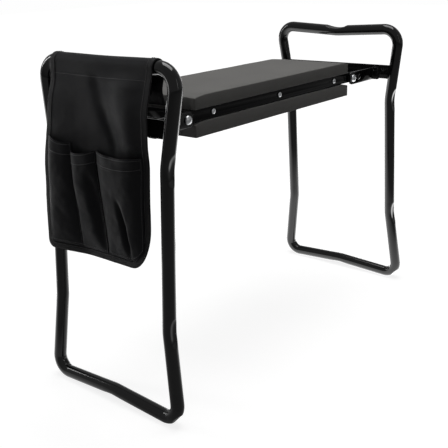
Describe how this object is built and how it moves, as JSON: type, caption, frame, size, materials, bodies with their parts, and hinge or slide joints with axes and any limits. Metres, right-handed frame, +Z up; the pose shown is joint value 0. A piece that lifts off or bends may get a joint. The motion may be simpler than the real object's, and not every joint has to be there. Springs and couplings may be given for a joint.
{
  "type": "garden kneeler seat",
  "caption": "Folding garden kneeler seat: foam-padded board between two tubular leg loops that fold in under it, with a hanging tool pouch.",
  "frame": {"origin": "on the ground, at the middle of the standing footprint", "axes": "+Z up, +X along the seat from the leg with the pouch to the other leg, +Y from the front edge to the rear edge"},
  "size_m": [0.651, 0.265, 0.491],
  "materials": {
    "black_paint": "gloss",
    "zinc": "polished",
    "nut_steel": "satin",
    "eva_foam": "matte",
    "pouch_cloth": "matte",
    "pouch_tape": "matte",
    "nylon_plastic": "satin",
    "plywood": "matte"
  },
  "bodies": {
    "seat": {"seat_pad": "eva_foam", "kneeling_pad": "eva_foam", "seat_board": "plywood", "side_rail_front": "black_paint", "side_rivet_front_1": "zinc", "side_rivet_front_2": "zinc", "side_rivet_front_3": "zinc", "side_rail_rear": "black_paint", "side_rivet_rear_1": "zinc", "side_rivet_rear_2": "zinc", "side_rivet_rear_3": "zinc", "end_tie_left": "black_paint", "pivot_bolt_left_front": "zinc", "pivot_washer_left_front": "nylon_plastic", "lock_nut_left_front": "nut_steel", "pivot_bolt_left_rear": "zinc", "pivot_washer_left_rear": "nylon_plastic", "lock_nut_left_rear": "nut_steel", "end_tie_right": "black_paint", "pivot_bolt_right_front": "zinc", "pivot_washer_right_front": "nylon_plastic", "lock_nut_right_front": "nut_steel", "pivot_bolt_right_rear": "zinc", "pivot_washer_right_rear": "nylon_plastic", "lock_nut_right_rear": "nut_steel"},
    "left_leg": {"hinge_arm_left_front": "black_paint", "stop_pin_left_front": "black_paint", "hinge_arm_left_rear": "black_paint", "stop_pin_left_rear": "black_paint", "crossbar_left": "black_paint", "leg_loop_left": "black_paint", "pouch_panel": "pouch_cloth", "pouch_binding": "pouch_tape", "pouch_pocket_large": "pouch_cloth", "pouch_pocket_middle": "pouch_cloth", "pouch_pocket_small": "pouch_cloth", "pouch_hook_tape": "pouch_tape", "pouch_loop_tape": "pouch_tape"},
    "right_leg": {"hinge_arm_right_front": "black_paint", "stop_pin_right_front": "black_paint", "hinge_arm_right_rear": "black_paint", "stop_pin_right_rear": "black_paint", "crossbar_right": "black_paint", "leg_loop_right": "black_paint"}
  },
  "joints": [
    {"name": "left_leg_fold", "type": "hinge", "parent": "seat", "child": "left_leg", "pos_m": [-0.215, 0, 0.4], "axis": [0, -1, 0], "range_deg": [0, 91]},
    {"name": "right_leg_fold", "type": "hinge", "parent": "seat", "child": "right_leg", "pos_m": [0.215, 0, 0.4], "axis": [0, 1, 0], "range_deg": [0, 97]}
  ]
}
